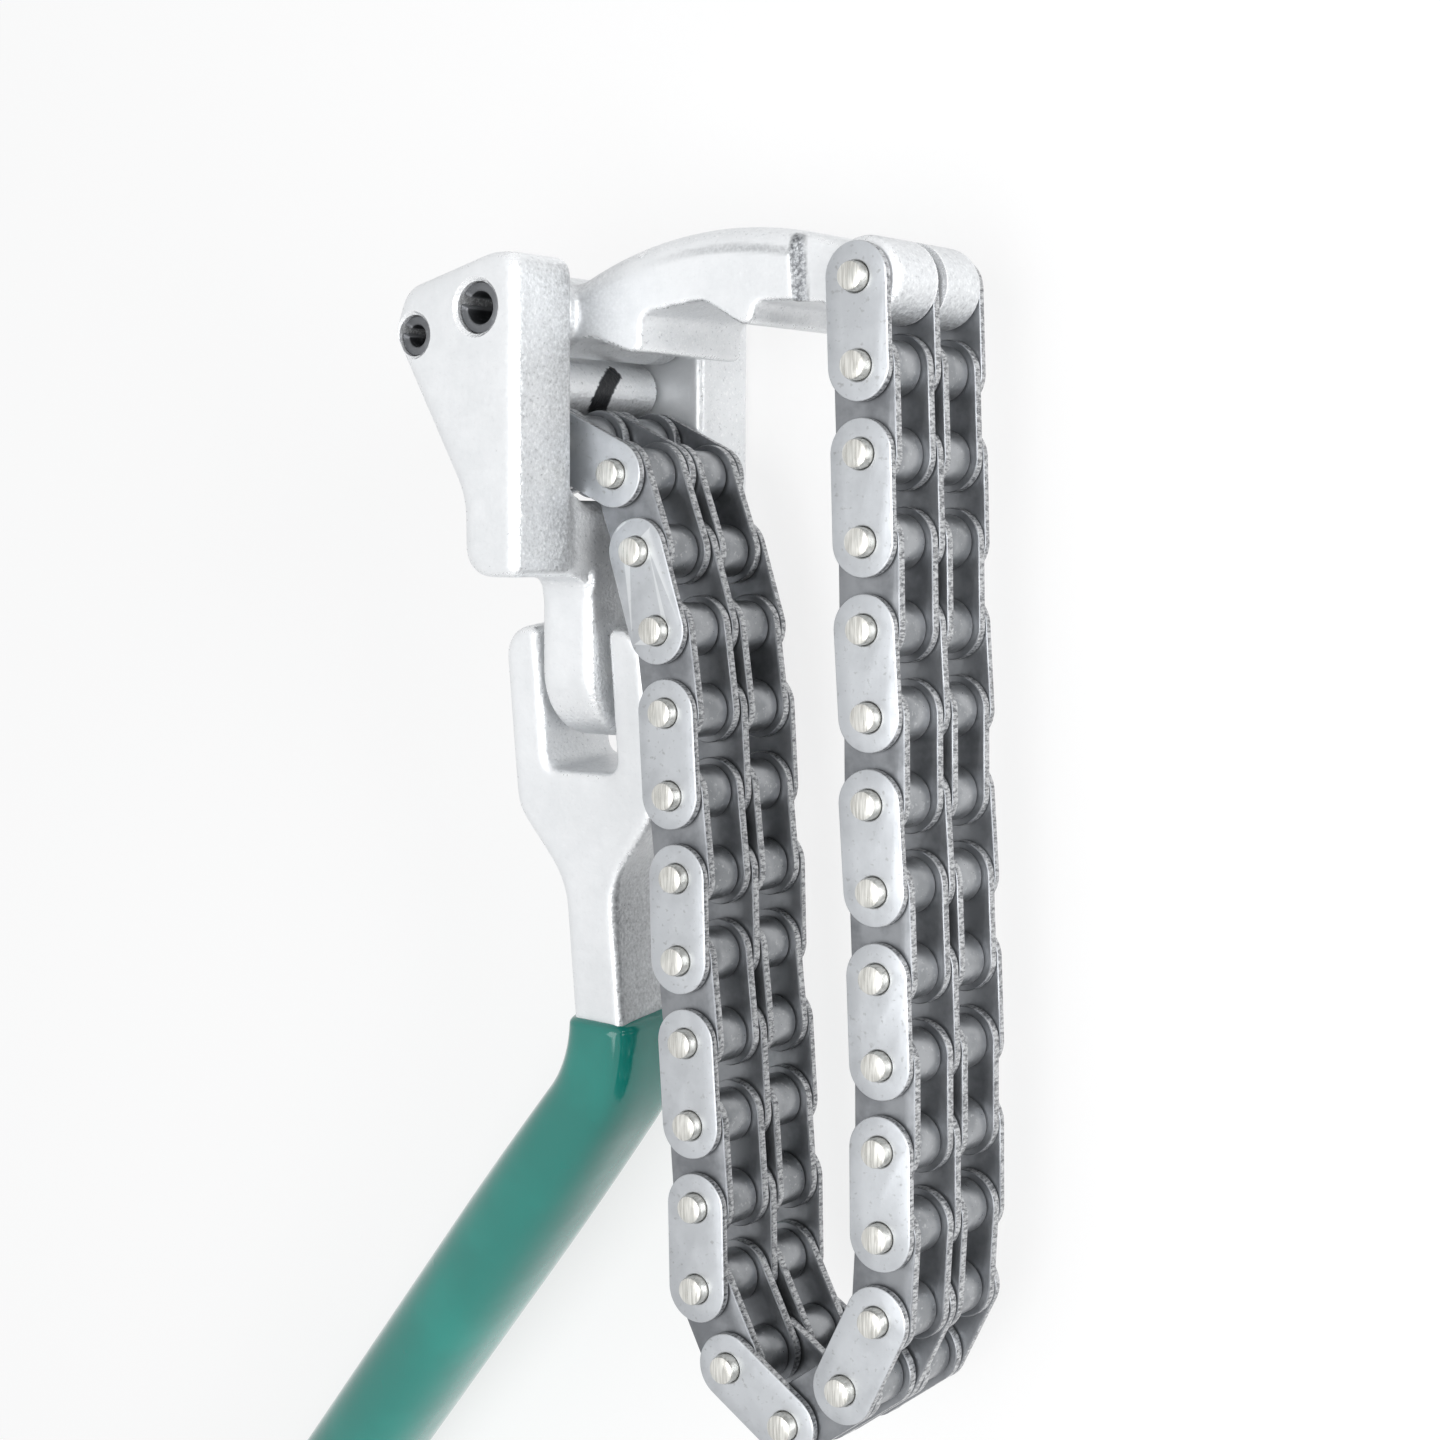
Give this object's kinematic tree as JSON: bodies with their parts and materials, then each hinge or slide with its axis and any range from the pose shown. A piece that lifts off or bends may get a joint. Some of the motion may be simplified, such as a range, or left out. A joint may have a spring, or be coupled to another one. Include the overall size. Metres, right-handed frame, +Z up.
{
  "type": "chain oil filter wrench",
  "caption": "Chain wrench for oil filters: forged head, toothed swinging arm, duplex roller chain loop, hinged fork handle with a dipped grip.",
  "frame": {"origin": "on the outer face of the lower cheek, at the floor, below the middle of the cheek", "axes": "+X from the head to the end of the arm, +Y from the handle to the head, +Z up, along the chain's pins; the wrench lies on its side"},
  "size_m": [0.1245, 0.1869, 0.0459],
  "materials": {
    "forging": "satin",
    "chain_steel": "satin",
    "black_steel": "satin",
    "pin_steel": "satin",
    "grip": "gloss"
  },
  "bodies": {
    "head": {"head": "forging", "arm_pivot_pin": "black_steel", "anchor_pivot_pin": "black_steel"},
    "arm": {"arm": "forging"},
    "anchor": {"anchor": "forging", "chain_end_pin": "pin_steel"},
    "handle": {"handle": "forging", "grip": "grip", "flex_pin": "pin_steel"},
    "link_01": {"outer_link_01": "chain_steel"},
    "link_02": {"inner_link_02_near": "chain_steel", "inner_link_02_far": "chain_steel"},
    "link_03": {"outer_link_03": "chain_steel"},
    "link_04": {"inner_link_04_near": "chain_steel", "inner_link_04_far": "chain_steel"},
    "link_05": {"outer_link_05": "chain_steel"},
    "link_06": {"inner_link_06_near": "chain_steel", "inner_link_06_far": "chain_steel"},
    "link_07": {"outer_link_07": "chain_steel"},
    "link_08": {"inner_link_08_near": "chain_steel", "inner_link_08_far": "chain_steel"},
    "link_09": {"outer_link_09": "chain_steel"},
    "link_10": {"inner_link_10_near": "chain_steel", "inner_link_10_far": "chain_steel"},
    "link_11": {"outer_link_11": "chain_steel"},
    "link_12": {"inner_link_12_near": "chain_steel", "inner_link_12_far": "chain_steel"},
    "link_13": {"outer_link_13": "chain_steel"},
    "link_14": {"inner_link_14_near": "chain_steel", "inner_link_14_far": "chain_steel"},
    "link_15": {"outer_link_15": "chain_steel"},
    "link_16": {"inner_link_16_near": "chain_steel", "inner_link_16_far": "chain_steel"},
    "link_17": {"outer_link_17": "chain_steel"},
    "link_18": {"inner_link_18_near": "chain_steel", "inner_link_18_far": "chain_steel"},
    "link_19": {"outer_link_19": "chain_steel"},
    "link_20": {"inner_link_20_near": "chain_steel", "inner_link_20_far": "chain_steel"},
    "link_21": {"outer_link_21": "chain_steel"},
    "link_22": {"inner_link_22_near": "chain_steel", "inner_link_22_far": "chain_steel"},
    "link_23": {"outer_link_23": "chain_steel"},
    "link_24": {"inner_link_24_near": "chain_steel", "inner_link_24_far": "chain_steel"},
    "link_25": {"outer_link_25": "chain_steel"},
    "link_26": {"inner_link_26_near": "chain_steel", "inner_link_26_far": "chain_steel"},
    "link_27": {"outer_link_27": "chain_steel"},
    "link_28": {"inner_link_28_near": "chain_steel", "inner_link_28_far": "chain_steel"}
  },
  "joints": [
    {"name": "arm_swing", "type": "hinge", "parent": "head", "child": "arm", "pos_m": [0.0015, 0.013, 0.02294], "axis": [0, 0, 1], "range_deg": [0, 30]},
    {"name": "handle_flex", "type": "hinge", "parent": "head", "child": "handle", "pos_m": [0.0027, -0.0287, 0.02294], "axis": [1, 0, 0], "range_deg": [-80, 70]},
    {"name": "anchor_swing", "type": "hinge", "parent": "head", "child": "anchor", "pos_m": [-0.0081, 0.0102, 0.02294], "axis": [0, 0, 1], "range_deg": [-35, 3]},
    {"name": "pivot_00", "type": "hinge", "parent": "arm", "child": "link_01", "pos_m": [0.04471, 0.01518, 0.02294], "axis": [0, 0, 1], "range_deg": [-60, 45]},
    {"name": "pivot_01", "type": "hinge", "parent": "link_01", "child": "link_02", "pos_m": [0.04512, 0.00566, 0.02294], "axis": [0, 0, 1], "range_deg": [-75, 75]},
    {"name": "pivot_02", "type": "hinge", "parent": "link_02", "child": "link_03", "pos_m": [0.04554, -0.00385, 0.02294], "axis": [0, 0, 1], "range_deg": [-74.6, 75.4]},
    {"name": "pivot_03", "type": "hinge", "parent": "link_03", "child": "link_04", "pos_m": [0.04589, -0.01337, 0.02294], "axis": [0, 0, 1], "range_deg": [-74.4, 75.6]},
    {"name": "pivot_04", "type": "hinge", "parent": "link_04", "child": "link_05", "pos_m": [0.04614, -0.02289, 0.02294], "axis": [0, 0, 1], "range_deg": [-77.6, 72.4]},
    {"name": "pivot_05", "type": "hinge", "parent": "link_05", "child": "link_06", "pos_m": [0.04682, -0.03239, 0.02294], "axis": [0, 0, 1], "range_deg": [-71.8, 78.2]},
    {"name": "pivot_06", "type": "hinge", "parent": "link_06", "child": "link_07", "pos_m": [0.04697, -0.04192, 0.02294], "axis": [0, 0, 1], "range_deg": [-78.4, 71.6]},
    {"name": "pivot_07", "type": "hinge", "parent": "link_07", "child": "link_08", "pos_m": [0.04768, -0.05142, 0.02294], "axis": [0, 0, 1], "range_deg": [-73.6, 76.4]},
    {"name": "pivot_08", "type": "hinge", "parent": "link_08", "child": "link_09", "pos_m": [0.04817, -0.06093, 0.02294], "axis": [0, 0, 1], "range_deg": [-74.8, 75.2]},
    {"name": "pivot_09", "type": "hinge", "parent": "link_09", "child": "link_10", "pos_m": [0.04861, -0.07044, 0.02294], "axis": [0, 0, 1], "range_deg": [-73.1, 76.9]},
    {"name": "pivot_10", "type": "hinge", "parent": "link_10", "child": "link_11", "pos_m": [0.04875, -0.07997, 0.02294], "axis": [0, 0, 1], "range_deg": [-75.2, 74.8]},
    {"name": "pivot_11", "type": "hinge", "parent": "link_11", "child": "link_12", "pos_m": [0.04891, -0.08949, 0.02294], "axis": [0, 0, 1], "range_deg": [-71.1, 78.9]},
    {"name": "pivot_12", "type": "hinge", "parent": "link_12", "child": "link_13", "pos_m": [0.04843, -0.099, 0.02294], "axis": [0, 0, 1], "range_deg": [-51.5, 98.5]},
    {"name": "pivot_13", "type": "hinge", "parent": "link_13", "child": "link_14", "pos_m": [0.0442, -0.10753, 0.02294], "axis": [0, 0, 1], "range_deg": [-47.7, 102.3]},
    {"name": "pivot_28", "type": "hinge", "parent": "anchor", "child": "link_28", "pos_m": [-0.00622, -0.00424, 0.02294], "axis": [0, 0, 1], "range_deg": [-60, 4]},
    {"name": "pivot_27", "type": "hinge", "parent": "link_28", "child": "link_27", "pos_m": [0.00298, -0.00175, 0.02294], "axis": [0, 0, 1], "range_deg": [-35.2, 114.8]},
    {"name": "pivot_26", "type": "hinge", "parent": "link_27", "child": "link_26", "pos_m": [0.01164, -0.00571, 0.02294], "axis": [0, 0, 1], "range_deg": [-30.1, 119.9]},
    {"name": "pivot_25", "type": "hinge", "parent": "link_26", "child": "link_25", "pos_m": [0.01497, -0.01463, 0.02294], "axis": [0, 0, 1], "range_deg": [-72.5, 77.5]},
    {"name": "pivot_24", "type": "hinge", "parent": "link_25", "child": "link_24", "pos_m": [0.01792, -0.02369, 0.02294], "axis": [0, 0, 1], "range_deg": [-65.2, 84.8]},
    {"name": "pivot_23", "type": "hinge", "parent": "link_24", "child": "link_23", "pos_m": [0.01927, -0.03312, 0.02294], "axis": [0, 0, 1], "range_deg": [-70.5, 79.5]},
    {"name": "pivot_22", "type": "hinge", "parent": "link_23", "child": "link_22", "pos_m": [0.01989, -0.04262, 0.02294], "axis": [0, 0, 1], "range_deg": [-77.6, 72.4]},
    {"name": "pivot_21", "type": "hinge", "parent": "link_22", "child": "link_21", "pos_m": [0.02093, -0.05209, 0.02294], "axis": [0, 0, 1], "range_deg": [-70.6, 79.4]},
    {"name": "pivot_20", "type": "hinge", "parent": "link_21", "child": "link_20", "pos_m": [0.02125, -0.06161, 0.02294], "axis": [0, 0, 1], "range_deg": [-79.5, 70.5]},
    {"name": "pivot_19", "type": "hinge", "parent": "link_20", "child": "link_19", "pos_m": [0.02231, -0.07108, 0.02294], "axis": [0, 0, 1], "range_deg": [-72.9, 77.1]},
    {"name": "pivot_18", "type": "hinge", "parent": "link_19", "child": "link_18", "pos_m": [0.02303, -0.08057, 0.02294], "axis": [0, 0, 1], "range_deg": [-75.5, 74.5]},
    {"name": "pivot_17", "type": "hinge", "parent": "link_18", "child": "link_17", "pos_m": [0.02382, -0.09007, 0.02294], "axis": [0, 0, 1], "range_deg": [-71.7, 78.3]},
    {"name": "pivot_16", "type": "hinge", "parent": "link_17", "child": "link_16", "pos_m": [0.02407, -0.09959, 0.02294], "axis": [0, 0, 1], "range_deg": [-101.3, 48.7]},
    {"name": "pivot_15", "type": "hinge", "parent": "link_16", "child": "link_15", "pos_m": [0.02851, -0.10801, 0.02294], "axis": [0, 0, 1], "range_deg": [-104.4, 45.6]}
  ],
  "couplings": [
    {"joint": "anchor_swing", "follows": "arm_swing", "ratio": -0.1847},
    {"joint": "pivot_00", "follows": "arm_swing", "ratio": -1.0354},
    {"joint": "pivot_01", "follows": "arm_swing", "ratio": 0.2169},
    {"joint": "pivot_02", "follows": "arm_swing", "ratio": -0.2196},
    {"joint": "pivot_03", "follows": "arm_swing", "ratio": 0.2173},
    {"joint": "pivot_04", "follows": "arm_swing", "ratio": -0.2197},
    {"joint": "pivot_05", "follows": "arm_swing", "ratio": 0.2184},
    {"joint": "pivot_06", "follows": "arm_swing", "ratio": -0.219},
    {"joint": "pivot_07", "follows": "arm_swing", "ratio": 0.2192},
    {"joint": "pivot_08", "follows": "arm_swing", "ratio": -0.2172},
    {"joint": "pivot_09", "follows": "arm_swing", "ratio": 0.2855},
    {"joint": "pivot_10", "follows": "arm_swing", "ratio": -0.2178},
    {"joint": "pivot_11", "follows": "arm_swing", "ratio": 0.4208},
    {"joint": "pivot_12", "follows": "arm_swing", "ratio": 2.0484},
    {"joint": "pivot_13", "follows": "arm_swing", "ratio": -1.4292},
    {"joint": "pivot_28", "follows": "arm_swing", "ratio": -0.1761},
    {"joint": "pivot_27", "follows": "arm_swing", "ratio": 1.2783},
    {"joint": "pivot_26", "follows": "arm_swing", "ratio": -0.2198},
    {"joint": "pivot_25", "follows": "arm_swing", "ratio": 0.2175},
    {"joint": "pivot_24", "follows": "arm_swing", "ratio": -0.9376},
    {"joint": "pivot_23", "follows": "arm_swing", "ratio": 0.2177},
    {"joint": "pivot_22", "follows": "arm_swing", "ratio": -0.7855},
    {"joint": "pivot_21", "follows": "arm_swing", "ratio": 0.2189},
    {"joint": "pivot_20", "follows": "arm_swing", "ratio": -0.2189},
    {"joint": "pivot_19", "follows": "arm_swing", "ratio": 0.4938},
    {"joint": "pivot_18", "follows": "arm_swing", "ratio": 1.0242},
    {"joint": "pivot_17", "follows": "arm_swing", "ratio": 0.2188},
    {"joint": "pivot_16", "follows": "arm_swing", "ratio": 0.2169},
    {"joint": "pivot_15", "follows": "arm_swing", "ratio": -0.2198}
  ]
}
